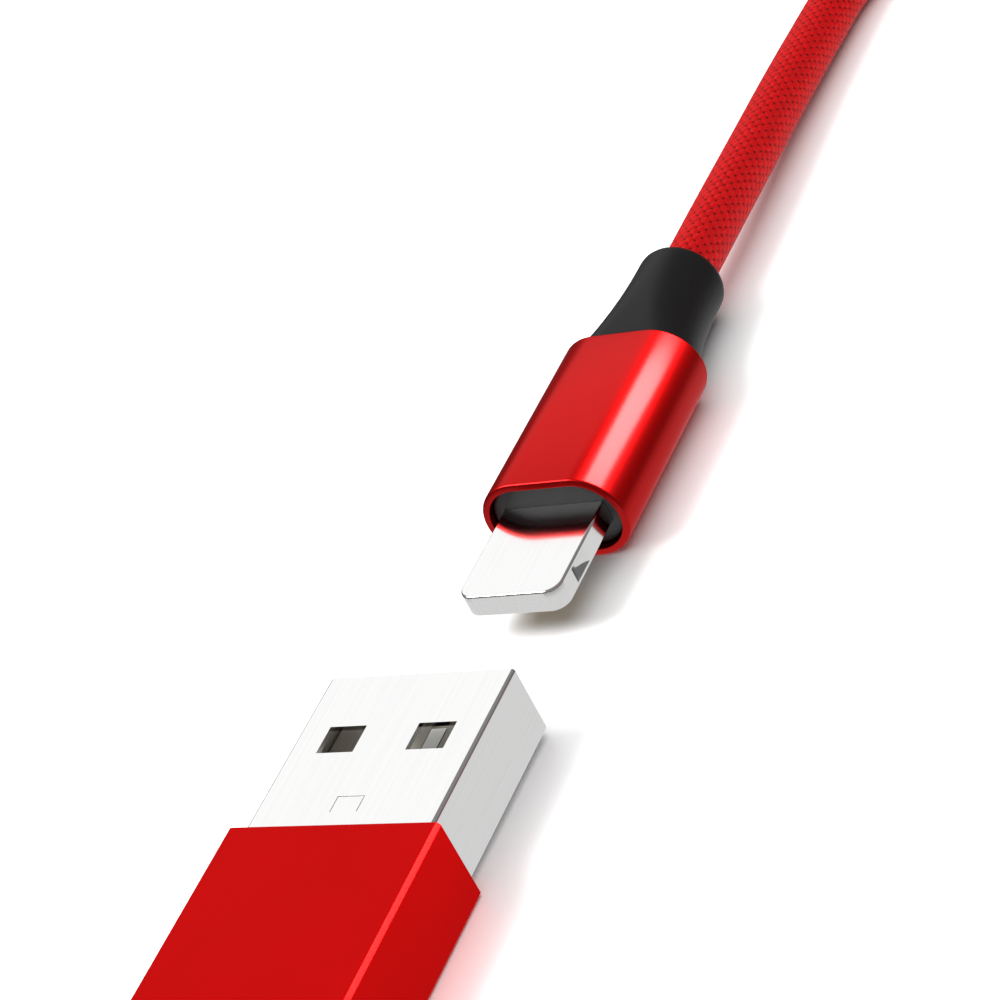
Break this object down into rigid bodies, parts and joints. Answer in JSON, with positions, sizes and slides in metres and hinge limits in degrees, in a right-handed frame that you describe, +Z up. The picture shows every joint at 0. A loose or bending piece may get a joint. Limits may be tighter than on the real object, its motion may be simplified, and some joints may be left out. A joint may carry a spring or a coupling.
{
  "type": "charging cable",
  "caption": "Braided charging cable with a flat charger plug, a slim phone plug, and its spare length wound in a small coil held by a strap.",
  "frame": {"origin": "middle of the charger plug housing's flat underside, where it lies on the table", "axes": "+Z up from the table; both plugs lie along the line halfway between +X and +Y, the charger plug's tip towards +X+Y and the phone plug's tip towards -X-Y"},
  "size_m": [0.1102, 0.1223, 0.0093],
  "materials": {
    "red_aluminium": "anodised, satin",
    "plated_steel": "nickel plated, bright",
    "crimp_steel": "plain pressed steel",
    "contact_gold": "gold plated",
    "white_plastic": "moulded, satin",
    "black_plastic": "moulded, satin",
    "black_rubber": "moulded soft plastic, satin",
    "red_braid": "fine braided yarn",
    "strap": "woven hook-and-loop tape",
    "green_board": "solder mask",
    "chip_black": "moulded",
    "ceramic": "fired ceramic",
    "wire_red": "extruded insulation",
    "wire_white": "extruded insulation",
    "wire_green": "extruded insulation",
    "wire_black": "extruded insulation"
  },
  "bodies": {
    "root": {"charger_housing": "red_aluminium", "phone_sleeve": "red_aluminium", "charger_shell": "plated_steel", "phone_tongue_frame": "plated_steel", "charger_crimp_collar": "crimp_steel", "phone_crimp_collar": "crimp_steel", "charger_contact_power": "contact_gold", "charger_contact_data_minus": "contact_gold", "charger_contact_data_plus": "contact_gold", "charger_contact_ground": "contact_gold", "phone_contact_1": "contact_gold", "phone_contact_2": "contact_gold", "phone_contact_3": "contact_gold", "phone_contact_4": "contact_gold", "phone_contact_5": "contact_gold", "phone_contact_6": "contact_gold", "phone_contact_7": "contact_gold", "phone_contact_8": "contact_gold", "charger_contact_block": "white_plastic", "charger_inner_mould": "white_plastic", "phone_inner_mould": "white_plastic", "phone_nose_insert": "black_plastic", "phone_contact_carrier": "black_plastic", "charger_boot": "black_rubber", "phone_boot": "black_rubber", "cable_coil": "red_braid", "cable_to_phone": "red_braid", "cable_to_charger": "red_braid", "coil_tie": "strap", "phone_circuit_board": "green_board", "phone_control_chip": "chip_black", "phone_resistor": "chip_black", "phone_capacitor": "ceramic", "charger_wire_red": "wire_red", "phone_wire_red": "wire_red", "charger_wire_white": "wire_white", "phone_wire_white": "wire_white", "charger_wire_green": "wire_green", "phone_wire_green": "wire_green", "charger_wire_black": "wire_black", "phone_wire_black": "wire_black"}
  },
  "joints": []
}
